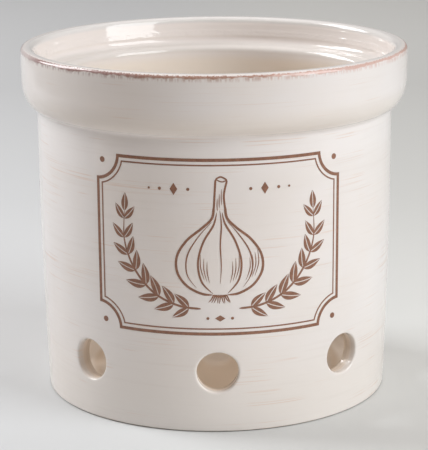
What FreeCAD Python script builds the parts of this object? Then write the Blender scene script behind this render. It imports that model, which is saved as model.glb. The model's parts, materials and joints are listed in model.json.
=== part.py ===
import FreeCAD, Part
import math
import os

# A ceramic garlic keeper: one slip-cast crock with a heavy rolled collar, a stepped gallery inside the
# rim that takes a drop-in lid, and a ring of vent holes punched low in the wall.
# Millimetres. The origin is the centre of the foot, +Z is up and the front vent faces -Y.

# Driving dimensions
crock_height = 126.4
rim_radius = 70.0          # outside of the collar
rim_thickness = 5.8        # from the collar's band to the lid gallery
collar_band = 10.9         # upright part of the collar, down from the rim
collar_turn = 10.1         # height of the collar's rounded underside
collar_overhang = 5.5      # how far the collar stands out from the wall
wall_taper = 1.7           # how much smaller the foot's radius is than the neck's
wall_bow = 0.6             # how far the wall swells past a straight taper at half height
wall_thickness = 5.2
floor_thickness = 6.0
gallery_depth = 9.7        # from the rim down to the ledge that carries the lid
foot_ring_width = 6.0
foot_recess = 1.5          # how far the underside is hollowed inside the foot ring

# Vent holes, punched square to the wall while the clay is soft
vent_diameter = 14.5
vent_margin = 0.65         # plain wall between a vent's lip and the floor's hollow corner
vent_angles = (0.0, 44.0, 90.0, 135.0, 180.0, 225.0, 270.0, 316.0)  # from the front, spaced by eye
vent_lip = 1.0             # width of the eased lip, inside and out

# Softened corners, as radii
rim_outer_edge = 1.2
rim_inner_edge = 1.8
gallery_corner = 1.6       # hollow corner between the gallery wall and the ledge
ledge_edge = 2.2
neck_corner = 1.5          # hollow corner where the collar meets the wall
floor_corner = 7.0         # hollow corner round the inside of the floor
foot_edge = 0.8
recess_corner = 1.0        # hollow corner round the underside

# Worked out from the driving dimensions
neck_radius = rim_radius - collar_overhang
foot_radius = neck_radius - wall_taper
recess_radius = foot_radius - foot_ring_width
gallery_radius = rim_radius - rim_thickness
ledge_height = crock_height - gallery_depth
band_foot = crock_height - collar_band
collar_foot = band_foot - collar_turn
vent_height = floor_thickness + floor_corner + vent_margin + vent_lip + vent_diameter / 2

# Construction values
facet_error = 0.15         # how far a flat facet may stand off the round that it stands for
overrun = 4.0              # how far a punch reaches past the wall
pick_tolerance = 0.01
seam_angle = 22.5          # turns the revolved seam to the wall between two vents
origin = FreeCAD.Vector(0, 0, 0)
up = FreeCAD.Vector(0, 0, 1)


def at(radius, height):
    return FreeCAD.Vector(radius, 0, height)


def facet_count(radius, turn):
    """Fewest facets that keep to facet_error on a round stretch that turns by this many radians."""
    if radius <= facet_error:
        return 1
    widest = 2 * math.acos(1 - facet_error / radius)
    return max(1, math.ceil(turn / widest))


def rounded(before, corner, after, radius):
    """Points of the arc that softens a corner between two straight runs."""
    arriving = (corner - before).normalize()
    leaving = (after - corner).normalize()
    turn = arriving.getAngle(leaving)
    setback = radius * math.tan(turn / 2)
    start = corner - arriving * setback
    side = leaving - arriving * arriving.dot(leaving)
    centre = start + side.normalize() * radius
    points = []
    facets = facet_count(radius, turn)
    for step in range(facets + 1):
        swept = turn * step / facets
        points.append(centre - side * (radius * math.cos(swept)) + arriving * (radius * math.sin(swept)))
    return points


def softened(outline):
    """An outline of (point, radius) corners, with each corner that has a radius rounded off."""
    points = []
    for place, (corner, radius) in enumerate(outline):
        if radius:
            before = outline[place - 1][0]
            after = outline[(place + 1) % len(outline)][0]
            points.extend(rounded(before, corner, after, radius))
        else:
            points.append(corner)
    return points


def wall_radius(height):
    """Outside radius of the wall at a height: a straight taper with a shallow bow."""
    share = height / collar_foot
    return foot_radius + wall_taper * share + wall_bow * (1 - (2 * share - 1) ** 2)


def collar_underside():
    """Quarter ellipse from the neck out to the foot of the collar's band, short of its lower end."""
    facets = facet_count(max(collar_overhang, collar_turn), math.pi / 2)
    points = []
    for step in range(1, facets + 1):
        swept = math.pi / 2 * step / facets
        points.append(at(
            neck_radius + collar_overhang * math.sin(swept),
            band_foot - collar_turn * math.cos(swept),
        ))
    return points


def crock_outline():
    """Half section of the crock, from the middle of the underside round to the middle of the floor."""
    middle = collar_foot / 2
    return [
        (at(0, foot_recess), 0),
        (at(recess_radius, foot_recess), recess_corner),
        (at(recess_radius, 0), 0),
        (at(foot_radius, 0), foot_edge),
        (at(wall_radius(middle), middle), 0),
        (at(neck_radius, collar_foot), neck_corner),
        *[(point, 0) for point in collar_underside()],
        (at(rim_radius, crock_height), rim_outer_edge),
        (at(gallery_radius, crock_height), rim_inner_edge),
        (at(gallery_radius, ledge_height), gallery_corner),
        (at(neck_radius - wall_thickness, ledge_height), ledge_edge),
        (at(foot_radius - wall_thickness, floor_thickness), floor_corner),
        (at(0, floor_thickness), 0),
    ]


def turned(shape, angle):
    """The shape turned about the crock's axis, anticlockwise from above."""
    shape.rotate(origin, up, angle)
    return shape


def crock_form():
    """The crock before its vents are punched."""
    points = softened(crock_outline())
    section = Part.Face(Part.makePolygon([*points, points[0]]))
    form = section.revolve(origin, up, 360)
    return turned(form, seam_angle)


def vent_punch():
    """Cylinder that goes through the front of the wall at the vents' height."""
    outside = wall_radius(vent_height) + overrun
    reach = wall_thickness + 2 * overrun
    start = FreeCAD.Vector(0, reach - outside, vent_height)
    return Part.makeCylinder(vent_diameter / 2, reach, start, FreeCAD.Vector(0, -1, 0))


def vent_lips(shape):
    """The edges where the vents break through the wall, inside and out."""
    lips = []
    for face in shape.Faces:
        bored = isinstance(face.Surface, Part.Cylinder)
        if bored and abs(face.Surface.Radius - vent_diameter / 2) < pick_tolerance:
            lips.extend(edge for edge in face.Edges if not isinstance(edge.Curve, Part.Line))
    return lips


def crock():
    """The whole crock, with its vents punched and their lips eased."""
    form = crock_form()
    for angle in vent_angles:
        form = form.cut(turned(vent_punch(), angle))
    return form.makeChamfer(vent_lip, vent_lips(form))


def save(shape, name):
    solids = shape.Solids
    if len(solids) != 1 or not shape.isValid():
        raise ValueError(f"{name} has {len(solids)} solids, valid {shape.isValid()}")
    solids[0].exportStep(os.path.join("parts", f"{name}.step"))
    box = solids[0].optimalBoundingBox(False, False)
    print(f"{name}: {solids[0].Volume:.0f} mm3, {box.XLength:.2f} x {box.YLength:.2f} x {box.ZLength:.2f} mm")


os.makedirs("parts", exist_ok=True)
save(crock(), "crock")
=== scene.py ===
import json
import math

import bmesh
import bpy
from mathutils import Matrix, Vector, noise


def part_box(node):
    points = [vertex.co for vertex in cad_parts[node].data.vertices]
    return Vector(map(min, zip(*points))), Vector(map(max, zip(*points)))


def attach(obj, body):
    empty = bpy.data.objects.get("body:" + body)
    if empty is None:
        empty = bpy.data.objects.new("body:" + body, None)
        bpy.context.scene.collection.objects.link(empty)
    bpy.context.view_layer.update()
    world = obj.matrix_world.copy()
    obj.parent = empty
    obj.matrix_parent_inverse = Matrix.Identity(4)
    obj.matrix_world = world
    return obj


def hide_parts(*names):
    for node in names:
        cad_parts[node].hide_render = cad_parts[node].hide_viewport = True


mm = 0.001

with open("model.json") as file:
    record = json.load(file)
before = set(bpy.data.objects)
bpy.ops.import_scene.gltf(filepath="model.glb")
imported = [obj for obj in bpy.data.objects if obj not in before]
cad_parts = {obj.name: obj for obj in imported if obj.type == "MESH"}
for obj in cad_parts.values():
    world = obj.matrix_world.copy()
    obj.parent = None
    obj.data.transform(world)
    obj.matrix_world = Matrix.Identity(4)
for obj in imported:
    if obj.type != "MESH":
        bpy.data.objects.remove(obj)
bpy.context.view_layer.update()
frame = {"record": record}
print("frame loaded")

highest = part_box("crock")[1]
mounts = {mount["name"]: mount for mount in frame["record"]["mounts"]}

crock = {   # in mm
    "height": highest.z / mm,
    "rimRadius": highest.x / mm,
    "galleryRadius": mounts["lid_gallery"]["dims"]["r_mm"],
    "ledgeHeight": mounts["lid_ledge"]["pos_m"][2] / mm - 0.6,   # the glazed ledge sags a little
    "galleryDraft": 1.3,     # how much the gallery wall opens towards the rim
    "galleryKnee": 3.4,      # height on the gallery wall from which it opens
    "collarBand": 10.9,
    "collarTurn": 10.8,
    "collarOverhang": 5.5,
    "wallTaper": 1.7,
    "wallBow": 0.6,
    "wallThickness": 5.2,
    "floorThickness": 6.0,
    "footRing": 6.0,
    "footRecess": 1.5,
    "rimOuterEdge": 1.5,
    "rimInnerEdge": 2.1,
    "galleryCorner": 2.4,
    "ledgeEdge": 2.6,
    "ledgeFall": 1.2,        # how much the ledge falls towards the cavity
    "kneeInset": 0.1,        # how far the gallery wall has opened at its knee
    "kneeCorner": 3.0,
    "neckCorner": 2.2,
    "floorCorner": 7.0,
    "footEdge": 0.8,
    "recessCorner": 1.0,
    "around": 180,           # points round the crock
    "spacing": 2.4,          # between rings on the long runs
    "arcStep": 12.0,         # degrees between rings on a round corner
    "turnRings": range(2, 11),   # of the collar's turn, from where the neck's corner ends
    "cornerRings": 4,        # rings of the hollow corner round the floor
    "centreRing": 3.0,       # radius of the last ring before the middle
    "wobble": 0.10,          # how far the clay wanders from true
    "wobbleWidth": 38.0,     # how broad that wandering is
    "wobbleTall": 0.7,
    "trueCentre": 5.0,       # radius inside which nothing wanders
}

vents = {
    "angles": (0, 44, 90, 135, 180, 225, 270, 316),   # from the front, anticlockwise from above
    "height": 21.9,
    "astray": {0: (0.4, 0.0), 44: (0.6, 0.7), 316: (-0.3, -0.7)},   # degrees and mm off their marks
    "radius": 7.25,
    "lip": 0.7,
    "columns": 6,            # half of the patch round a vent, in points round the crock
    "rows": 6,               # half of the patch, in rings
    "reach": 13.2,           # half height of the patch
    "cavityFoot": 3.4,       # how far above the floor the patches start inside
    "patchShares": (0.62, 0.34, 0.13, 0.0),   # rings between a vent's lip and its patch's edge
    "lipTurns": (30, 60, 90),   # degrees of each ring round the lip
    "tunnelShares": (0.33, 0.67),
    "unevenness": 0.012,
    "waves": ((2, 1.7, 1.0), (3, 2.9, 0.6)),   # count round the vent, shift from vent to vent, strength
}

neckRadius = crock["rimRadius"] - crock["collarOverhang"]
footRadius = neckRadius - crock["wallTaper"]
bandFoot = crock["height"] - crock["collarBand"]
collarFoot = bandFoot - crock["collarTurn"]
recessRadius = footRadius - crock["footRing"]
cavityTop = neckRadius - crock["wallThickness"]
cavityFoot = footRadius - crock["wallThickness"]
ledgeLevel = crock["ledgeHeight"]


def placed(name, data):   # puts a mesh, a camera or a lamp into the scene
    made = bpy.data.objects.new(name, data)
    bpy.context.scene.collection.objects.link(made)
    return made


def settled(name, mesh):   # ends a mesh that was being built
    made = bpy.data.meshes.new(name)
    mesh.to_mesh(made)
    mesh.free()
    return made


def outerRadius(height):
    share = height / collarFoot
    return footRadius + crock["wallTaper"] * share + crock["wallBow"] * (1 - (2 * share - 1) ** 2)


def innerRadius(height):   # the cavity's wall, with the hollow corner round the floor
    floor = crock["floorThickness"]
    corner = crock["floorCorner"]
    share = (height - floor) / (ledgeLevel - floor)
    wall = cavityFoot + (cavityTop - cavityFoot) * share
    below = max(0.0, floor + corner - height)
    return wall - corner + math.sqrt(corner ** 2 - below ** 2)


def cornerArc(before, corner, after, radius):   # rounds one corner of the section
    arriving = (corner - before).normalized()
    leaving = (after - corner).normalized()
    turn = arriving.angle(leaving)
    setback = radius * math.tan(turn / 2)
    start = corner - arriving * setback
    side = (leaving - arriving * arriving.dot(leaving)).normalized()
    centre = start + side * radius
    steps = max(2, math.ceil(math.degrees(turn) / crock["arcStep"]))
    points = []
    for step in range(steps + 1):
        swept = turn * step / steps
        points.append(centre - side * radius * math.cos(swept) + arriving * radius * math.sin(swept))
    return points


def spaced(start, end, spacing):   # points strictly between two points of the section
    count = max(1, round((end - start).length / spacing))
    return [start.lerp(end, step / count) for step in range(1, count)]


def softened(corners):   # rounds the corners that have a radius and fills the long runs
    points = []
    for place, (corner, radius) in enumerate(corners):
        if radius:
            arc = cornerArc(corners[place - 1][0], corner, corners[place + 1][0], radius)
        else:
            arc = [corner]
        if points:
            points += spaced(points[-1], arc[0], crock["spacing"])
        points += arc
    return points


def ventRows(radiusAt, lowestRow, highestRow):   # an even set of rings through the vents' height
    count = 2 * vents["rows"]
    heights = [lowestRow + (highestRow - lowestRow) * step / count for step in range(count + 1)]
    return [Vector((radiusAt(height), height)) for height in heights]


def collarTurn():   # the rounded run from the neck out to the collar's band
    turn = []
    for step in crock["turnRings"]:
        swept = math.pi / 2 * step / crock["turnRings"][-1]
        turn.append(Vector((
            neckRadius + crock["collarOverhang"] * math.sin(swept),
            bandFoot - crock["collarTurn"] * math.cos(swept),
        )))
    return turn


def floorRun(cavityLow, centre):   # from the cavity's wall round the hollow corner to the middle
    floor, corner = crock["floorThickness"], crock["floorCorner"]
    start = math.asin((floor + corner - cavityLow) / corner)
    points = []
    for step in range(1, crock["cornerRings"] + 1):
        swept = start + (math.pi / 2 - start) * step / crock["cornerRings"]
        height = floor + corner * (1 - math.sin(swept))
        points.append(Vector((innerRadius(height), height)))
    end = Vector((centre, floor))
    return points + spaced(points[-1], end, 2 * crock["spacing"]) + [end]


def crockSection():   # the half section from the middle of the underside round to the middle of the floor
    low = vents["height"] - vents["reach"]
    high = vents["height"] + vents["reach"]
    centre = crock["centreRing"]
    under = softened([
        (Vector((centre, crock["footRecess"])), 0),
        (Vector((recessRadius, crock["footRecess"])), crock["recessCorner"]),
        (Vector((recessRadius, 0)), crock["footEdge"]),
        (Vector((footRadius, 0)), crock["footEdge"]),
        (Vector((outerRadius(low - crock["spacing"]), low - crock["spacing"])), 0),
    ])
    outerVents = ventRows(outerRadius, low, high)
    wall = []
    height = high + crock["spacing"]
    while height < collarFoot - 2 * crock["neckCorner"]:
        wall.append(Vector((outerRadius(height), height)))
        height += crock["spacing"]
    galleryRadius, fall = crock["galleryRadius"], crock["ledgeFall"] / 2
    knee = Vector((galleryRadius + crock["kneeInset"], ledgeLevel + crock["galleryKnee"]))
    top = softened([
        (wall[-1], 0),
        (Vector((neckRadius, collarFoot)), crock["neckCorner"]),
        *((point, 0) for point in collarTurn()),
        (Vector((crock["rimRadius"], crock["height"])), crock["rimOuterEdge"]),
        (Vector((galleryRadius + crock["galleryDraft"], crock["height"])), crock["rimInnerEdge"]),
        (knee, crock["kneeCorner"]),
        (Vector((galleryRadius, ledgeLevel + fall)), crock["galleryCorner"]),
        (Vector((cavityTop, ledgeLevel - fall)), crock["ledgeEdge"]),
        (Vector((innerRadius(high + crock["spacing"]), high + crock["spacing"])), 0),
    ])
    cavityLow = crock["floorThickness"] + vents["cavityFoot"]
    innerVents = ventRows(innerRadius, high, cavityLow)
    upToInner = under + outerVents + wall + top[1:]
    return upToInner + innerVents + floorRun(cavityLow, centre), len(under), len(upToInner)


def wander(place):   # the small unevenness of cast clay, inwards only
    spot = Vector((place.x, place.y, place.z * crock["wobbleTall"])) / crock["wobbleWidth"]
    drift = (1 + noise.noise(spot)) / 2
    flat = Vector((place.x, place.y, 0))
    if flat.length < crock["trueCentre"]:
        return place
    return place - flat.normalized() * crock["wobble"] * drift


def ventPoint(angle, across, height, depth):
    outward = Vector((math.sin(angle), -math.cos(angle), 0))
    sideways = Vector((math.cos(angle), math.sin(angle), 0))
    return outward * depth + sideways * across + Vector((0, 0, height))


def blockLoop(column, row):   # grid places round a vent's patch, in order
    left, right = column - vents["columns"], column + vents["columns"]
    low, high = row, row + 2 * vents["rows"]
    places = [(i, left) for i in range(low, high)]
    places += [(high, j) for j in range(left, right)]
    places += [(i, right) for i in range(high, low, -1)]
    places += [(low, j) for j in range(right, left, -1)]
    return places


def crockMesh():
    rows, outerStart, innerStart = crockSection()
    around = crock["around"]
    mesh = bmesh.new()
    blocks = []
    for angle in vents["angles"]:
        aside, rise = vents["astray"].get(angle, (0, 0))
        blocks.append((math.radians(angle + aside), vents["height"] + rise, round(angle * around / 360)))

    def inBlock(i, j, kind):
        first = 1 if kind == "point" else 0   # a patch's edge points stay, its edge faces don't
        for start in (outerStart, innerStart):
            for _, _, column in blocks:
                offset = (j - column + around // 2) % around - around // 2
                inRows = start + first <= i < start + 2 * vents["rows"]
                if inRows and first - vents["columns"] <= offset < vents["columns"]:
                    return True
        return False

    grid = {}
    for i, point in enumerate(rows):
        for j in range(around):
            if not inBlock(i, j, "point"):
                turn = 2 * math.pi * j / around
                place = Vector((point.x * math.sin(turn), -point.x * math.cos(turn), point.y))
                grid[i, j] = mesh.verts.new(wander(place) * mm)
    for i in range(len(rows) - 1):
        for j in range(around):
            if not inBlock(i, j, "face"):
                k = (j + 1) % around
                mesh.faces.new((grid[i, j], grid[i, k], grid[i + 1, k], grid[i + 1, j]))
    for i, height in ((0, rows[0].y), (len(rows) - 1, rows[-1].y)):
        middle = mesh.verts.new(Vector((0, 0, height)) * mm)
        for j in range(around):
            mesh.faces.new((grid[i, j], grid[i, (j + 1) % around], middle))
    for number, block in enumerate(blocks):
        punchVent(mesh, grid, rows, number, block, outerStart, innerStart)
    bmesh.ops.recalc_face_normals(mesh, faces=mesh.faces)
    for face in mesh.faces:
        face.smooth = True
    return settled("crock_glazed", mesh)


def punchVent(mesh, grid, rows, number, block, outerStart, innerStart):
    angle, middle, column = block
    around = crock["around"]
    outerLoop = [(i, j % around) for i, j in blockLoop(column, outerStart)]
    span = 2 * vents["rows"]
    innerLoop = [(innerStart + span - (i - outerStart), j) for i, j in outerLoop]   # rings run down inside

    def local(place):
        i, j = place
        turn = 2 * math.pi * j / around - angle
        return rows[i].x * math.sin(turn), rows[i].y - middle

    def patchRings(loop, radiusAt):
        rings = []
        for share in vents["patchShares"]:
            ring = []
            for place in loop:
                edgeX, edgeZ = local(place)
                bearing = math.atan2(edgeZ, edgeX)
                hole = (vents["radius"] + vents["lip"]) * uneven(number, bearing)
                x = hole * math.cos(bearing) * (1 - share) + edgeX * share
                z = hole * math.sin(bearing) * (1 - share) + edgeZ * share
                height = middle + z
                depth = math.sqrt(radiusAt(height) ** 2 - x ** 2)
                ring.append(mesh.verts.new(wander(ventPoint(angle, x, height, depth)) * mm))
            rings.append(ring)
        return rings

    def lipRings(loop, radiusAt, inward):
        rings = []
        for swept in vents["lipTurns"]:
            ring = []
            for place in loop:
                edgeX, edgeZ = local(place)
                bearing = math.atan2(edgeZ, edgeX)
                ease = vents["lip"] * (1 - math.sin(math.radians(swept)))
                radius = (vents["radius"] + ease) * uneven(number, bearing)
                x = radius * math.cos(bearing)
                height = middle + radius * math.sin(bearing)
                surface = math.sqrt(radiusAt(height) ** 2 - x ** 2)
                depth = surface - inward * vents["lip"] * (1 - math.cos(math.radians(swept)))
                ring.append(mesh.verts.new(wander(ventPoint(angle, x, height, depth)) * mm))
            rings.append(ring)
        return rings

    outerEdge = [grid[place] for place in outerLoop]
    innerEdge = [grid[place] for place in innerLoop]
    outer = [outerEdge, *patchRings(outerLoop, outerRadius), *lipRings(outerLoop, outerRadius, 1)]
    inner = [innerEdge, *patchRings(innerLoop, innerRadius), *lipRings(innerLoop, innerRadius, -1)]
    tunnel = []
    for share in vents["tunnelShares"]:
        ring = []
        for a, b in zip(outer[-1], inner[-1]):
            ring.append(mesh.verts.new(a.co.lerp(b.co, share)))
        tunnel.append(ring)
    chain = outer + tunnel + inner[::-1]
    for first, second in zip(chain, chain[1:]):
        count = len(first)
        for k in range(count):
            n = (k + 1) % count
            mesh.faces.new((first[k], first[n], second[n], second[k]))


def uneven(number, bearing):   # no vent is quite round, and each in its own way
    wave = sum(size * math.sin(count * bearing + shift * number) for count, shift, size in vents["waves"])
    return 1 + vents["unevenness"] * wave


glazed = placed("crock_glazed", crockMesh())
smoother = glazed.modifiers.new("smoother", "SUBSURF")
smoother.levels = 1
smoother.render_levels = 1
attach(glazed, "root")
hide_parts("crock")
print("crock formed,", len(glazed.data.polygons), "faces before smoothing")


class Wire:   # one socket of a node, so that sums on values read as Python
    def __init__(self, tree, socket=None):
        self.tree = tree
        self.socket = socket

    def node(self, kind, settings=None, inputs=None, out=0):
        made = self.tree.nodes.new("ShaderNode" + kind)
        for name, value in (settings or {}).items():
            if name == "stops":
                fillRamp(made.color_ramp, value)
            else:
                setattr(made, name, value)
        for name, value in (inputs or {}).items():
            if isinstance(value, Wire):
                self.tree.links.new(value.socket, made.inputs[name])
            else:
                made.inputs[name].default_value = value
        return Wire(self.tree, made.outputs[out] if made.outputs else None)

    def math(self, operation, *values, clamp=False):
        settings = {"operation": operation, "use_clamp": clamp}
        return self.node("Math", settings, dict(enumerate(values)))

    def __add__(self, other):
        return self.math("ADD", self, other)

    def __radd__(self, other):
        return self.math("ADD", other, self)

    def __sub__(self, other):
        return self.math("SUBTRACT", self, other)

    def __rsub__(self, other):
        return self.math("SUBTRACT", other, self)

    def __mul__(self, other):
        return self.math("MULTIPLY", self, other)

    def __rmul__(self, other):
        return self.math("MULTIPLY", other, self)

    def __truediv__(self, other):
        return self.math("DIVIDE", self, other)

    def step(self, low, high):   # 0 below low, 1 above high, smooth between
        settings = {"interpolation_type": "SMOOTHSTEP"}
        return self.node("MapRange", settings, {"Value": self, "From Min": low, "From Max": high})

    def mix(self, factor, first, second, blend="MIX"):
        settings = {"data_type": "RGBA", "blend_type": blend}
        return self.node("Mix", settings, {0: factor, 6: first, 7: second}, 2)


def fillRamp(ramp, stops):
    while len(ramp.elements) < len(stops):
        ramp.elements.new(0.5)
    for element, (place, tone) in zip(ramp.elements, stops):
        element.position = place
        element.color = tone


def newFinish(name):
    made = bpy.data.materials.new(name)
    made.use_nodes = True
    made.node_tree.nodes.clear()
    return made, Wire(made.node_tree)


def coat(wire, inputs):   # ends a material with its one shader
    shader = wire.node("BsdfPrincipled", {}, inputs)
    wire.node("OutputMaterial", {}, {"Surface": shader})


def colour(red, green, blue):
    return (red, green, blue, 1.0)


glaze = {
    "cream": colour(0.845, 0.80, 0.77),
    "milk": colour(0.855, 0.82, 0.805),                   # where the glaze lies thick
    "inside": colour(0.885, 0.82, 0.745),                 # the thinner glaze of the cavity
    "insideShade": colour(0.835, 0.745, 0.65),             # painted shade: the cavity's right side, away from the key lamp, darker and warmer
    "deepShade": colour(0.73, 0.63, 0.525),                    # painted shade: the cavity darker and browner low down
    "patches": {                                          # the tone of each part, and how much it covers
        "gallery": (colour(0.85, 0.795, 0.765), 1.0),
        # painted shade: the ledge darker than the gallery wall above it
        "ledge": (colour(0.765, 0.73, 0.70), 1.0),
        "rimInsideShade": (colour(0.76, 0.75, 0.74), 0.8),     # painted shade round the rim's inner edge
        "coveLight": (colour(0.90, 0.85, 0.79), 0.85),         # painted light: a pale ring on the floor by its corner, for light falling in through the vents
        "tunnel": (colour(0.76, 0.65, 0.55), 0.65),       # thinner glaze in the vents, with painted shade: darker and warmer in the holes
        "neck": (colour(0.80, 0.735, 0.66), 0.5),         # painted shade under the collar
        "shadowLift": (colour(0.89, 0.855, 0.84), 0.8),         # painted light below the collar, lifting the collar's shadow
        "low": (colour(0.845, 0.79, 0.742), 1.0),         # warmer towards the foot
        "streak": (colour(0.74, 0.53, 0.41), 0.42),       # dry brush strokes under the glaze
        "shade": (colour(0.60, 0.52, 0.46), 0.07),        # fainter greyish strokes
    },
    "collarStrokes": 0.5,     # how many fewer strokes the collar has
    "roughness": 0.045,
    "streakRoughness": 0.021,
    "stainRoughness": 0.04,
    "tunnelRoughness": 0.25,
    "ior": 1.57,
}

gloss = {   # how uneven the glaze lies
    "ripple": 0.09,
    "rings": 0.18,            # turning rings, as a part of the ripple
    "calm": 0.8,              # how much calmer it is over the rim
    "comb": 0.30,             # finger marks round the gallery wall
    "combLines": 0.35,        # their long lines beside the short marks at the knee
    "grain": 0.3,             # of the bare clay
    "strength": 0.5,
}

rimStain = {
    "brown": colour(0.38, 0.19, 0.125),
    "salmon": colour(0.64, 0.37, 0.30),
    "plum": colour(0.31, 0.165, 0.155),
    "band": 1.4,              # how far the solid band comes down from the rim's top, in mm
    "soft": 0.35,             # half of its lower edge's softness
    "streaks": 2.9,           # how far its longest streaks come down
    "breadth": 0.65,          # the least share of the band that is there
    "broad": 0.35,            # what broad clouds add to that
    "small": 0.3,             # what small clouds add
    "narrowing": 0.35,        # how much narrower it is at the right end
    "narrowSpan": (0.55, 0.90),
    "inner": 0.50,            # how far it comes in over the top, at the front
    "sides": 0.40,            # how much further at the sides
    "fray": 0.35,             # how far its streaks reach over the top
    "overSpan": (-0.15, 0.25),
    "strength": 0.96,
    "streakStrength": 0.62,
    "worn": 0.15,             # how much fainter its worn spots are
    "leftEnd": 0.5,           # how much fainter it is at the far left
    "leftSpan": (0.84, 0.95),
    "rightEnd": 0.15,         # how much fainter it is towards the right
    "rightSpan": (0.1, 0.7),
    "mottle": 0.7,            # how much its brown and salmon mingle
    "drift": 0.5,             # how far its colours stray along the rim
    "salmonSpan": (0.25, 0.85),
    "plumSpan": (0.15, 0.7),
}

foot = {
    "clay": colour(0.55, 0.44, 0.35),
    "edge": colour(0.22, 0.17, 0.12),    # painted contact shadow: the dark line round the foot
    "glazeEdge": 0.35,        # height of the glaze's lower edge, in mm
    "soft": 0.25,
    "wander": 0.3,            # how far that edge strays down
    "roughness": 0.85,
}

zones = {   # heights or radii, in mm, between which each part of the glaze comes in
    "outside": (neckRadius - 4.2, neckRadius - 2.6),
    "cavityWall": (cavityFoot + 1.8, cavityFoot + 4.4),
    "cavityTop": (ledgeLevel - 7.0, ledgeLevel - 2.0),
    "cavityDepth": (18, 100),
    "aboveFoot": (2.5, 3.5),
    "galleryFoot": (ledgeLevel - 3.4, ledgeLevel - 1.6),
    "galleryWall": (66.5, 68.0),
    "ledgeTop": (ledgeLevel + 0.3, ledgeLevel + 1.6),
    "kneeFoot": (ledgeLevel + 2.4, ledgeLevel + 3.4),
    "kneeTop": (ledgeLevel + 4.8, ledgeLevel + 6.0),
    "rimTop": (crock["height"] - 2.6, crock["height"] - 1.4),
    "rimWall": (67.3, 68.2),
    "rimCalm": (crock["height"] - 3, crock["height"] - 2),
    "coveStart": (44.5, 47.5),
    "coveEnd": (52.0, 55.0),
    "coveTop": (9, 13),
    "tunnelStart": (cavityFoot + 1.2, cavityFoot + 2.4),
    "tunnelEnd": (footRadius - 1.6, footRadius - 0.4),
    "tunnelFoot": (12, 13),
    "tunnelTop": (31, 32),
    "neckFoot": (collarFoot - 1, collarFoot + 2),
    "neckTop": (collarFoot + 3, bandFoot),
    "shadowLiftFoot": (collarFoot - 18, collarFoot - 6),
    "shadowLiftTop": (collarFoot - 2, collarFoot + 1),
    "collar": (collarFoot, bandFoot),
    "lowTop": (8, 46),
    "footEdge": (footRadius - 1.2, footRadius - 0.7),
    "right": (0.0, 0.5),      # across, in shares of the rim's radius
}

clouds = {   # width and height in mm, detail, distortion, seed, and the levels between which it steps
    "milk": (34, 26, 3, 0.0, 0.0, 0.35, 0.65),
    "strokes": (52, 0.6, 2, 0.1, 3.1, 0.58, 0.68),
    "bunches": (22, 9, 2, 0.0, 7.7, 0.47, 0.62),
    "shades": (40, 1.6, 3, 0.1, 12.4, 0.52, 0.72),
    "fray": (0.8, 7.0, 2, 0.0, 21.0, 0.40, 0.64),
    "broad": (8, 8, 2, 0.0, 33.0, 0.35, 0.65),
    "small": (1.5, 4, 2, 0.0, 37.0, 0.3, 0.7),
    "worn": (1.2, 3.0, 2, 0.0, 41.0, 0.35, 0.60),
    "hue": (6, 6, 2, 0.0, 51.0),
    "drift": (24, 24, 1, 0.0, 63.0),
    "footLine": (5, 5, 2, 0.0, 71.0),
    "brushed": (30, 2.2, 2, 0.1, 81.0),
    "dimples": (9, 9, 2, 0.0, 91.0),
    "rings": (16, 0.9, 2, 0.0, 95.0),
    "grain": (0.5, 0.5, 2, 0.0, 101.0),
    "combLines": (24, 1.1, 2, 0.1, 107.0),
    "kneeMarks": (2.4, 1.3, 2, 0.0, 109.0),
}


def placeOf(wire):   # where a point of the crock lies, in mm, and how far right in shares of the rim
    spot = wire.node("TexCoord", out=3)
    inMm = wire.node("VectorMath", {"operation": "SCALE"}, {0: spot, "Scale": 1 / mm})
    flat = wire.node("VectorMath", {"operation": "MULTIPLY"}, {0: inMm, 1: (1, 1, 0)})
    return {
        "wire": wire,
        "point": inMm,
        "height": wire.node("SeparateXYZ", {}, {0: inMm}, 2),
        "radius": wire.node("VectorMath", {"operation": "LENGTH"}, {0: flat}, 1),
        "across": wire.node("SeparateXYZ", {}, {0: inMm}, 0) / crock["rimRadius"],
    }


def cloud(place, name):
    width, tall, detail, distortion, seed, *levels = clouds[name]
    wire = place["wire"]
    stretched = wire.node("VectorMath", {"operation": "MULTIPLY_ADD"}, {
        0: place["point"], 1: (1 / width, 1 / width, 1 / tall), 2: (seed, seed, seed),
    })
    made = wire.node("TexNoise", {}, {
        "Vector": stretched, "Scale": 1.0, "Detail": detail, "Distortion": distortion,
    })
    return made.step(*levels) if levels else made


def above(place, name):
    return place["height"].step(*zones[name])


def beyond(place, name):
    return place["radius"].step(*zones[name])


def between(place, low, high):   # heights from one zone up to another
    return above(place, low) * (1 - above(place, high))


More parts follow.
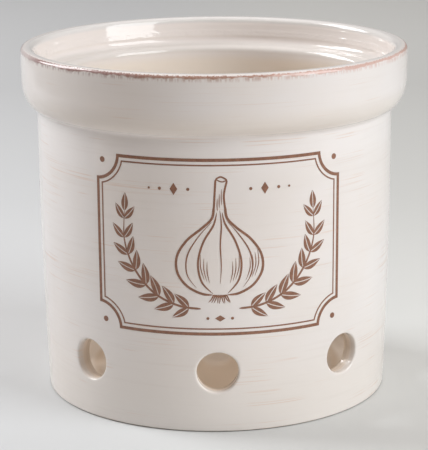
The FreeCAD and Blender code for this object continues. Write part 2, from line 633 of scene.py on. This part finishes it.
def glazeMasks(place):
    outside = beyond(place, "outside")
    flare = place["radius"] - place["height"] * ((cavityTop - cavityFoot) / ledgeLevel)
    gallery = above(place, "galleryFoot") * (1 - beyond(place, "galleryWall"))
    brushedOn = outside * (1 - gallery) * (1 - glaze["collarStrokes"] * above(place, "collar"))
    # painted light: the ring of the floor by its corner
    coveLight = beyond(place, "coveStart") * (1 - beyond(place, "coveEnd"))
    # the vents' holes: thin, rough glaze, and painted shade in the colour
    tunnel = beyond(place, "tunnelStart") * (1 - beyond(place, "tunnelEnd"))
    return {
        "cavity": (1 - flare.step(*zones["cavityWall"])) * between(place, "aboveFoot", "cavityTop"),
        "gallery": gallery,
        # painted shade on the ledge
        "ledge": gallery * (1 - above(place, "ledgeTop")),
        # painted shade round the rim's inner edge
        "rimInsideShade": above(place, "rimTop") * (1 - beyond(place, "rimWall")),
        "coveLight": coveLight * between(place, "aboveFoot", "coveTop"),
        "tunnel": tunnel * between(place, "tunnelFoot", "tunnelTop"),
        # painted shade under the collar
        "neck": between(place, "neckFoot", "neckTop") * outside,
        # painted light below the collar
        "shadowLift": between(place, "shadowLiftFoot", "shadowLiftTop") * outside,
        "low": outside * (1 - above(place, "lowTop")),
        "streak": cloud(place, "strokes") * cloud(place, "bunches") * brushedOn,
        "shade": cloud(place, "shades") * brushedOn,
    }


def rimMark(place):   # the stain worn into the rim's edge, and its colour
    wire, across = place["wire"], place["across"]
    drop = crock["height"] - place["height"]
    breadth = rimStain["breadth"] + rimStain["broad"] * cloud(place, "broad")
    breadth = breadth + rimStain["small"] * cloud(place, "small")
    breadth = breadth * (1 - rimStain["narrowing"] * across.step(*rimStain["narrowSpan"]))
    band = 1 - (drop / breadth).step(rimStain["band"] - rimStain["soft"], rimStain["band"] + rimStain["soft"])
    fray = cloud(place, "fray")
    fringe = fray * (1 - drop.step(rimStain["band"], rimStain["streaks"])) * rimStain["streakStrength"]
    edge = crock["rimRadius"] - rimStain["inner"] - across * across * rimStain["sides"]
    over = (place["radius"] + rimStain["fray"] * fray - edge).step(*rimStain["overSpan"])
    along = across + rimStain["drift"] * cloud(place, "drift") - rimStain["drift"] / 2
    thin = 1 - rimStain["worn"] + rimStain["worn"] * cloud(place, "worn")
    thin = thin * (1 - rimStain["leftEnd"] * (0 - across).step(*rimStain["leftSpan"]))
    thin = thin * (1 - rimStain["rightEnd"] * along.step(*rimStain["rightSpan"]))
    stain = band.math("MAXIMUM", band, fringe) * over * thin * rimStain["strength"]
    mingled = cloud(place, "hue") * rimStain["mottle"] + along
    hue = wire.mix(mingled.step(*rimStain["salmonSpan"]), rimStain["brown"], rimStain["salmon"])
    hue = wire.mix((0 - along).step(*rimStain["plumSpan"]), hue, rimStain["plum"])
    return stain, hue


def glazeRelief(place, masks, bare):
    waves = cloud(place, "brushed") + cloud(place, "dimples") + gloss["rings"] * cloud(place, "rings")
    waves = waves * (gloss["ripple"] * (1 - gloss["calm"] * above(place, "rimCalm")))
    marks = cloud(place, "kneeMarks") * between(place, "kneeFoot", "kneeTop")
    combed = (gloss["combLines"] * cloud(place, "combLines") + marks) * masks["gallery"] * gloss["comb"]
    return waves + cloud(place, "grain") * bare * gloss["grain"] + combed


def creamGlaze():
    made, wire = newFinish("cream_glaze")
    place = placeOf(wire)
    masks = glazeMasks(place)
    base = wire.mix(cloud(place, "milk"), glaze["cream"], glaze["milk"])
    # painted shade: the cavity darker and warmer on its right
    inner = wire.mix(place["across"].step(*zones["right"]), glaze["inside"], glaze["insideShade"])
    # painted shade low in the cavity
    inner = wire.mix(above(place, "cavityDepth"), glaze["deepShade"], inner)
    base = wire.mix(masks["cavity"], base, inner)
    for name, (tone, strength) in glaze["patches"].items():
        base = wire.mix(masks[name] * strength, base, tone)
    stain, hue = rimMark(place)
    base = wire.mix(stain, base, hue)
    footLine = place["height"] + foot["wander"] * cloud(place, "footLine")
    bare = 1 - footLine.step(foot["glazeEdge"], foot["glazeEdge"] + foot["soft"])
    base = wire.mix(bare, base, foot["clay"])
    # painted contact shadow round the foot's outer edge
    base = wire.mix(bare * beyond(place, "footEdge"), base, foot["edge"])

    rough = glaze["roughness"] + glaze["streakRoughness"] * masks["streak"] + glaze["stainRoughness"] * stain
    rough = rough + glaze["tunnelRoughness"] * masks["tunnel"]
    rough = rough + bare * (foot["roughness"] - glaze["roughness"])
    relief = glazeRelief(place, masks, bare)
    bump = wire.node("Bump", {}, {"Strength": gloss["strength"], "Distance": mm, "Height": relief})
    coat(wire, {"Base Color": base, "Roughness": rough, "Normal": bump, "IOR": glaze["ior"]})
    return made


glazed.data.materials.append(creamGlaze())
print("glaze mixed")

label = {   # in mm
    "middle": 66.4,       # height of its middle on the wall, in mm
    "turn": 1.3,          # degrees round from the front vent
    "halfWidth": 45.0,
    "halfHeight": 31.0,
    "notch": 8.5,         # radius of the scooped corners
    "outerLine": 1.1,
    "innerLine": 0.5,
    "lineGap": 1.8,       # from the middle of one line to the middle of the other
    "outerInset": 0.6,    # from the label's edge to the middle of the outer line
    "spacing": 1.0,       # between the points of a line
    "cornerSteps": 12,
    "dotSteps": 12,
    "lift": 0.05,         # how far the print stands off the wall
    "stagger": 0.004,     # keeps strokes that cross off one another
    "layers": 4,
    "thickness": 0.08,
    "weld": 0.002,
    "sliver": 0.001,
    "ink": colour(0.30, 0.145, 0.092),
    "darkInk": colour(0.24, 0.116, 0.0736),
    "inkPatches": 900.0,  # patches of darker ink to a metre
    "patchDetail": 2.0,
    "patchLevels": (0.35, 0.65),
    "ior": 1.5,
}

pen = {
    "tip": 0.12,          # width of a stroke's ends, as a share of its middle
    "steps": 8,           # points between two points of a stroke
}

bulb = {
    "edge": 0.85,         # widths of its strokes
    "clove": 0.70,
    "fold": 0.50,
    "hatch": 0.32,
    "root": 0.45,
    "neckEdge": 0.68,
    "neckTop": 0.56,
    "neckFold": 0.40,
    "hatchEase": 0.5,     # lead and tail of a shading stroke
    "rootTail": 0.7,
    "lines": [            # width, lead, tail and points
        ("edge", 0.05, 0.12, [
            (1.9, 14.6), (2.5, 10.6), (5.6, 7.2), (10.6, 3.0), (14.2, -2.4),
            (14.6, -8.0), (11.6, -13.0), (6.6, -15.9), (2.4, -16.4),
        ]),
        ("edge", 0.05, 0.12, [
            (-1.9, 14.6), (-2.6, 10.4), (-6.0, 7.0), (-11.2, 2.6), (-14.6, -3.0),
            (-14.5, -8.8), (-11.2, -13.4), (-6.2, -16.0), (-2.4, -16.4),
        ]),
        ("neckEdge", 0, 0.1, [(1.9, 13.8), (1.5, 18.5), (2.6, 23.6)]),
        ("neckEdge", 0, 0.1, [(-1.9, 13.8), (-1.6, 18.8), (-1.3, 23.9)]),
        ("neckTop", 0.1, 0.1, [(-1.3, 23.9), (0.5, 24.7), (2.6, 23.6)]),
        ("neckFold", 0.1, 0.1, [(-1.3, 23.9), (0.8, 23.0), (2.6, 23.6)]),
        ("clove", 0.25, 0.25, [(0.9, 12.5), (1.9, 8.4), (5.2, 2.6), (7.3, -4.6), (6.4, -11.2), (2.6, -16.0)]),
        ("clove", 0.25, 0.25, [
            (-0.9, 12.5), (-2.1, 8.0), (-5.6, 2.0), (-7.4, -5.2), (-6.2, -11.8), (-2.4, -16.0),
        ]),
        ("fold", 0.3, 0.6, [(0.1, 13.2), (0.6, 8.0), (0.2, 1.0), (0.5, -6.4), (0.1, -12.5)]),
        ("fold", 0.5, 0.5, [(2.4, 9.6), (6.6, 4.6), (10.4, -1.8), (11.0, -8.6), (8.0, -13.8)]),
        ("fold", 0.5, 0.5, [(-2.6, 9.2), (-7.2, 4.0), (-11.0, -2.6), (-11.2, -9.2), (-8.0, -14.0)]),
        ("clove", 0.2, 0.2, [(-2.5, -16.5), (0, -17.0), (2.5, -16.5)]),
    ],
    "shading": [          # count of strokes, then points as x, y and the move to the next stroke
        (4, [(12.9, -0.8, -0.9, -0.9), (13.3, -5.4, -1, -0.6), (11.9, -10.2, -1, -0.4)]),
        (3, [(6.5, -2.2, -1.1, -1.2), (6.5, -6.8, -1.1, -0.8), (5.3, -11.2, -0.9, -0.5)]),
        (3, [(-6.5, -2.2, 1.1, -1.2), (-6.5, -6.8, 1.1, -0.8), (-5.3, -11.2, 0.9, -0.5)]),
        (3, [(0.7, 20.6, -0.7, -1.6), (0.6, 17.6, -0.7, -1.4), (0.7, 14.9, -0.7, -1)]),
    ],
    "roots": 9,
    "rootPoints": [(2.2, -16.4), (2.9, -17.9), (4.0, -19.6)],   # of the one furthest right
    "rootStray": 0.5,
}

sprig = {
    "stem": [(6.5, -21.4), (14.5, -20.4), (23.3, -16.2), (30.2, -8.4), (33.8, 1.2), (33.6, 11.5)],
    "stemWidth": 0.75,
    "stemLead": 0.05,
    "stemTail": 0.5,
    "pairs": 8,
    "leaf": 7.8,
    "leafWidth": 3.1,
    "opening": 47.0,      # degrees between a leaf and the stem
    "vein": 0.16,         # half of the bare line down a leaf
    "curl": 0.16,         # how much a leaf bends back to the stem
    "leafSteps": 12,
    "belly": 0.82,        # below 1 the leaf is widest past its middle
    "fullness": 0.9,
    "stemSteps": 12,
    "firstPair": 0.13,    # where the first pair sits, and how much of the stem the pairs take
    "pairSpan": 0.79,
    "largest": 0.35,      # which leaves are largest, and how much smaller the rest become
    "tapering": 0.35,
    "tipLength": 0.82,
    "tipWidth": 0.84,
}

ornaments = {             # middle, width and height of a diamond; middle and radius of a dot
    "lowDiamond": (0, -24.8, 3.6, 2.2),
    "lowDot": (4.2, -24.8, 0.5),
    "highDiamond": (15.5, 20.4, 2.6, 4.2),
    "highDots": ((10.6, 20.4, 0.55), (20.4, 20.4, 0.55), (24.2, 20.4, 0.4)),
    "cornerInset": 2.6,
    "cornerDot": 1.0,
}


def smoothLine(points, steps=pen["steps"]):   # a curve through a few points
    line = []
    ends = [points[0], *points, points[-1]]
    for four in zip(ends, ends[1:], ends[2:], ends[3:]):
        before, start, end, after = (Vector(point) for point in four)
        for step in range(steps):
            t = step / steps
            line.append((
                2 * start
                + (end - before) * t
                + (2 * before - 5 * start + 4 * end - after) * t ** 2
                + (3 * start - before - 3 * end + after) * t ** 3
            ) / 2)
    line.append(Vector(points[-1]))
    return line


def bothSides(line, widths):
    left, right = [], []
    for k, point in enumerate(line):
        run = line[min(k + 1, len(line) - 1)] - line[max(k - 1, 0)]
        across = Vector((-run.y, run.x)).normalized() * widths[k] / 2
        left.append(point + across)
        right.append(point - across)
    return left, right


def penStroke(points, width, lead, tail):   # lead and tail: the shares over which it swells and thins
    line = smoothLine(points)
    widths = []
    for k in range(len(line)):
        share = k / (len(line) - 1)
        rise = min(1, share / lead) if lead else 1
        fall = min(1, (1 - share) / tail) if tail else 1
        swell = math.sin(math.pi / 2 * min(rise, fall))
        widths.append(width * (pen["tip"] + (1 - pen["tip"]) * swell))
    return bothSides(line, widths)


def borderStrips():
    outer, inner = label["outerInset"], label["outerInset"] + label["lineGap"]
    strips = []
    for middle, width in ((outer, label["outerLine"]), (inner, label["innerLine"])):
        strips.append(evenStrip(middle - width / 2, middle + width / 2))
    return strips


def evenStrip(outerInset, innerInset):   # both edges have as many points, so that the corners are mitred
    outer, inner = plaqueCorners(outerInset), plaqueCorners(innerInset)
    left, right = [outer[0]], [inner[0]]
    for k in range(1, len(outer)):
        count = max(1, round((outer[k] - outer[k - 1]).length / label["spacing"]))
        for step in range(1, count + 1):
            left.append(outer[k - 1].lerp(outer[k], step / count))
            right.append(inner[k - 1].lerp(inner[k], step / count))
    return left, right


def plaqueCorners(inset):
    radius = label["notch"] + inset
    start = math.asin(inset / radius)
    line = []
    for sideX, sideY, reverse in ((1, 1, False), (-1, 1, True), (-1, -1, False), (1, -1, True)):
        arc = []
        for step in range(label["cornerSteps"] + 1):
            swept = start + (math.pi / 2 - 2 * start) * step / label["cornerSteps"]
            x = sideX * (label["halfWidth"] - radius * math.sin(swept))
            y = sideY * (label["halfHeight"] - radius * math.cos(swept))
            arc.append(Vector((x, y)))
        line += arc[::-1] if reverse else arc
    line.append(line[0])
    return line


def bulbStrips():
    strips = []
    for width, lead, tail, points in bulb["lines"]:
        strips.append(penStroke(points, bulb[width], lead, tail))
    for count, points in bulb["shading"]:
        for k in range(count):
            moved = [(x + moveX * k, y + moveY * k) for x, y, moveX, moveY in points]
            strips.append(penStroke(moved, bulb["hatch"], bulb["hatchEase"], bulb["hatchEase"]))
    for k in range(bulb["roots"]):
        share = 2 * k / (bulb["roots"] - 1) - 1
        *points, tip = [(x * share, y) for x, y in bulb["rootPoints"]]
        strayX, strayY = bulb["rootStray"] * math.sin(3 * k), bulb["rootStray"] * abs(share)
        points.append((tip[0] + strayX, tip[1] + strayY))
        strips.append(penStroke(points, bulb["root"], 0, bulb["rootTail"]))
    return strips


def leafStrips(base, bearing, length, width, curl):   # two halves with a bare vein between them
    along = Vector((math.cos(bearing), math.sin(bearing)))
    across = Vector((-along.y, along.x))
    strips = []
    for side in (1, -1):
        inner, outer = [], []
        for k in range(sprig["leafSteps"] + 1):
            share = k / sprig["leafSteps"]
            swell = math.sin(math.pi * share ** sprig["belly"]) if 0 < share < 1 else 0
            half = width / 2 * swell ** sprig["fullness"]
            rib = base + along * length * share + across * curl * share ** 2 * length
            inner.append(rib + across * side * min(sprig["vein"], half))
            outer.append(rib + across * side * half)
        strips.append((outer, inner) if side > 0 else (inner, outer))
    return strips


def sprigStrips(side):
    points = [(side * x, y) for x, y in sprig["stem"]]
    line = smoothLine(points, sprig["stemSteps"])
    strips = [penStroke(points, sprig["stemWidth"], sprig["stemLead"], sprig["stemTail"])]
    for k in range(sprig["pairs"]):
        share = k / (sprig["pairs"] - 1)
        place = int(len(line) * (sprig["firstPair"] + sprig["pairSpan"] * share))
        run = line[min(place + 1, len(line) - 1)] - line[place - 1]
        heading = math.atan2(run.y, run.x)
        size = 1 - sprig["tapering"] * abs(share - sprig["largest"])
        length, width = sprig["leaf"] * size, sprig["leafWidth"] * size
        for turn in (1, -1):
            bearing = heading + turn * math.radians(sprig["opening"])
            strips += leafStrips(line[place], bearing, length, width, -sprig["curl"] * turn)
    run = line[-1] - line[-3]
    length, width = sprig["leaf"] * sprig["tipLength"], sprig["leafWidth"] * sprig["tipWidth"]
    strips += leafStrips(line[-1], math.atan2(run.y, run.x), length, width, 0)
    return strips


def diamondStrip(x, y, width, height):
    left = [Vector((x, y + height / 2)), Vector((x - width / 2, y)), Vector((x, y - height / 2))]
    right = [left[0], Vector((x + width / 2, y)), left[2]]
    return left, right


def dotStrip(x, y, radius):
    left, right = [], []
    for k in range(label["dotSteps"] + 1):
        turn = math.pi * k / label["dotSteps"]
        left.append(Vector((x - radius * math.sin(turn), y + radius * math.cos(turn))))
        right.append(Vector((x + radius * math.sin(turn), y + radius * math.cos(turn))))
    return left, right


def ornamentStrips():
    cornerX = label["halfWidth"] - ornaments["cornerInset"]
    cornerY = label["halfHeight"] - ornaments["cornerInset"]
    strips = [diamondStrip(*ornaments["lowDiamond"])]
    for side in (1, -1):
        x, y, radius = ornaments["lowDot"]
        strips.append(dotStrip(side * x, y, radius))
        x, y, width, height = ornaments["highDiamond"]
        strips.append(diamondStrip(side * x, y, width, height))
        for x, y, radius in ornaments["highDots"]:
            strips.append(dotStrip(side * x, y, radius))
        for end in (1, -1):
            strips.append(dotStrip(side * cornerX, end * cornerY, ornaments["cornerDot"]))
    return strips


def onWall(point, lift):   # a point of the flat drawing, laid on the wall
    height = label["middle"] + point.y
    angle = math.radians(label["turn"]) + point.x / outerRadius(height)
    radius = outerRadius(height)
    place = Vector((radius * math.sin(angle), -radius * math.cos(angle), height))
    outward = Vector((math.sin(angle), -math.cos(angle), 0))
    return (wander(place) + outward * lift) * mm


def printMesh(strips):
    mesh = bmesh.new()
    for number, (left, right) in enumerate(strips):
        lift = label["lift"] + label["stagger"] * (number % label["layers"])
        faces = (lift, lift - label["thickness"])   # the stroke's back lies just inside the wall
        rungs = []
        for pair in zip(left, right):
            rungs.append([mesh.verts.new(onWall(point, face)) for face in faces for point in pair])
        for (a, b, c, d), (e, f, g, h) in zip(rungs, rungs[1:]):
            for corners in ((a, b, f, e), (c, g, h, d), (a, e, g, c), (b, d, h, f)):
                mesh.faces.new(corners)
        for a, b, c, d in (rungs[0], rungs[-1]):
            mesh.faces.new((a, c, d, b))
    bmesh.ops.remove_doubles(mesh, verts=mesh.verts, dist=label["weld"] * mm)
    bmesh.ops.dissolve_degenerate(mesh, edges=mesh.edges, dist=label["sliver"] * mm)
    bmesh.ops.recalc_face_normals(mesh, faces=mesh.faces)
    return settled("garlic_print", mesh)


def printInk():
    made, wire = newFinish("brown_print")
    spot = wire.node("TexCoord", out=3)
    patchy = wire.node("TexNoise", {}, {
        "Vector": spot, "Scale": label["inkPatches"], "Detail": label["patchDetail"],
    })
    ink = wire.mix(patchy.step(*label["patchLevels"]), label["ink"], label["darkInk"])
    coat(wire, {"Base Color": ink, "Roughness": glaze["roughness"], "IOR": label["ior"]})
    return made


strokes = borderStrips() + bulbStrips() + sprigStrips(1) + sprigStrips(-1) + ornamentStrips()
garlicPrint = placed("garlic_print", printMesh(strokes))
garlicPrint.data.materials.append(printInk())
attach(garlicPrint, "root")
print("print laid on,", len(strokes), "strokes")

view = {   # in metres and radians
    "place": Vector((0.0, -0.6663, 0.2289)),
    "pitch": 0.2510,
    "yaw": -0.0007,
    "roll": -0.0078,
    "lens": 148.04,
    "sensor": 36.0,
    "nearest": 0.01,
}


def makeCamera():
    pitch, yaw, roll = view["pitch"], view["yaw"], view["roll"]
    level = math.cos(pitch)
    ahead = Vector((math.sin(yaw) * level, math.cos(yaw) * level, -math.sin(pitch)))
    right = Vector((math.cos(yaw), -math.sin(yaw), 0))
    up = right.cross(ahead)
    across = right * math.cos(roll) + up * math.sin(roll)
    upright = up * math.cos(roll) - right * math.sin(roll)
    data = bpy.data.cameras.new("camera")
    data.lens = view["lens"]
    data.sensor_width = view["sensor"]
    data.clip_start = view["nearest"]
    made = placed("camera", data)
    turn = Matrix((across, upright, -ahead)).transposed()
    made.matrix_world = Matrix.Translation(view["place"]) @ turn.to_4x4()
    bpy.context.scene.camera = made


makeCamera()

surround = {   # in metres
    "left": -0.58,         # the paper's sides and front edge
    "right": 1.3,
    "front": -0.52,
    "back": 1.6,
    "bend": 0.7,
    "top": 2.4,
    "tones": [             # y, and how pale the paper is there: painted light and shade that set the floor's fall of light and lift the crock's shadows
        (-0.52, 0.44),
        (-0.32, 0.48),
        (-0.14, 0.75),
        (-0.085, 0.61),
        (0.065, 0.68),
        (0.28, 0.60),
        (0.62, 0.53),
        (1.10, 0.61),
        (1.70, 0.55),
    ],
    "rightFront": 0.20,    # painted light: how much paler the paper's right is in front of frontSpan, over the crock's shadow
    "frontSpan": (0.015, 0.065),
    "rightBack": 0.12,     # painted light: the same past backSpan
    "backSpan": (0.28, 0.90),
    "leftTint": colour(0.975, 1.0, 1.02),
    "rightTint": colour(0.985, 1.0, 0.98),
    "sideFall": 0.30,      # painted shade: how much less pale it is far to the right, where the key lamp is near
    "nearTint": colour(1.06, 1.0, 0.94),   # the paper in front of the crock is warmer
    "nearSpan": (-0.14, -0.085),
    "fallSpan": (0.3, 0.9),
    "blend": 0.10,         # half of the width over which left becomes right
    "bendSteps": 12,
    "roughness": 0.9,
    "gloss": 0.1,
}


def sweepMesh():
    profile = [(surround["front"], 0.0), (surround["back"], 0.0)]
    for step in range(1, surround["bendSteps"] + 1):
        swept = math.pi / 2 * step / surround["bendSteps"]
        profile.append((
            surround["back"] + surround["bend"] * math.sin(swept),
            surround["bend"] * (1 - math.cos(swept)),
        ))
    profile.append((surround["back"] + surround["bend"], surround["top"]))
    mesh = bmesh.new()
    rows = []
    for y, z in profile:
        rows.append([mesh.verts.new((x, y, z)) for x in (surround["left"], surround["right"])])
    for low, high in zip(rows, rows[1:]):
        face = mesh.faces.new((low[0], low[1], high[1], high[0]))
        face.smooth = True
    return settled("sweep", mesh)


def sweepPaper():
    made, wire = newFinish("sweep_paper")
    spot = wire.node("TexCoord", out=3)
    across = wire.node("SeparateXYZ", {}, {0: spot}, 0)
    depth = wire.node("SeparateXYZ", {}, {0: spot}, 1)
    nearest = surround["tones"][0][0]
    length = surround["tones"][-1][0] - nearest
    stops = [((y - nearest) / length, colour(tone, tone, tone)) for y, tone in surround["tones"]]
    # painted light and shade along the paper's depth
    pale = wire.node("ValToRGB", {"stops": stops}, {"Fac": (depth - nearest) / length})
    side = across.step(-surround["blend"], surround["blend"])
    # painted light on the paper's right
    front = surround["rightFront"] * (1 - depth.step(*surround["frontSpan"]))
    back = surround["rightBack"] * depth.step(*surround["backSpan"])
    tint = wire.mix(side, surround["leftTint"], surround["rightTint"])
    tint = wire.mix(depth.step(*surround["nearSpan"]), surround["nearTint"], tint)
    paper = wire.mix(1.0, pale, tint, "MULTIPLY")
    paper = wire.mix(1.0, paper, 1 + side * (front + back), "MULTIPLY")
    # painted shade far to the right, near the key lamp
    paper = wire.mix(surround["sideFall"] * across.step(*surround["fallSpan"]), paper, colour(0, 0, 0))
    coat(wire, {
        "Base Color": paper,
        "Roughness": surround["roughness"],
        "Specular IOR Level": surround["gloss"],
    })
    return made


sweep = placed("sweep", sweepMesh())
sweep.data.materials.append(sweepPaper())

lamps = {   # azimuth from the front towards +X, elevation, distance, width, height, power, colour
    "key": (60.5, 27, 1.6, 1.02, 1.36, 20.3, (0.97, 1.0, 1.02)),
    "rearLeft": (-111.5, 33, 1.6, 0.8, 1.0, 22.4, (0.98, 0.99, 1.0)),
    "top": (0, 89, 1.6, 2.4, 2.4, 14.7, (1.0, 0.91, 0.86)),
}


def makeLamp(name, azimuth, elevation, distance, width, height, power, tint):
    data = bpy.data.lights.new(name, "AREA")
    data.shape = "RECTANGLE"
    data.size = width
    data.size_y = height
    data.energy = power
    data.color = tint
    turn, lift = math.radians(azimuth), math.radians(elevation)
    towards = Vector((math.sin(turn) * math.cos(lift), -math.cos(turn) * math.cos(lift), math.sin(lift)))
    middle = Vector((0, 0, crock["height"] / 2)) * mm
    made = placed(name, data)
    made.location = middle + towards * distance
    made.rotation_mode = "QUATERNION"
    made.rotation_quaternion = towards.to_track_quat("Z", "Y")


for name, values in lamps.items():
    makeLamp(name, *values)

room = {
    "light": colour(1.0, 0.80, 0.68),
    "strength": 0.072,
    "seen": colour(0.48, 0.48, 0.475),   # what a camera and the gloss see past the paper's edges
}


def makeRoom():
    made = bpy.data.worlds.new("room")
    made.use_nodes = True
    made.node_tree.nodes.clear()
    wire = Wire(made.node_tree)
    light = wire.node("Background", {}, {"Color": room["light"], "Strength": room["strength"]})
    seen = wire.node("Background", {}, {"Color": room["seen"], "Strength": 1.0})
    looked = wire.node("LightPath")
    for out in (3, 6):   # the glossy and the transmission rays see it too
        looked = looked.math("MAXIMUM", looked, wire.node("LightPath", out=out))
    both = wire.node("MixShader", {}, {0: looked, 1: light, 2: seen})
    wire.node("OutputWorld", {}, {"Surface": both})
    return made


bpy.context.scene.world = makeRoom()
bpy.context.scene.view_settings.view_transform = "Standard"
print("stage and lamps set")
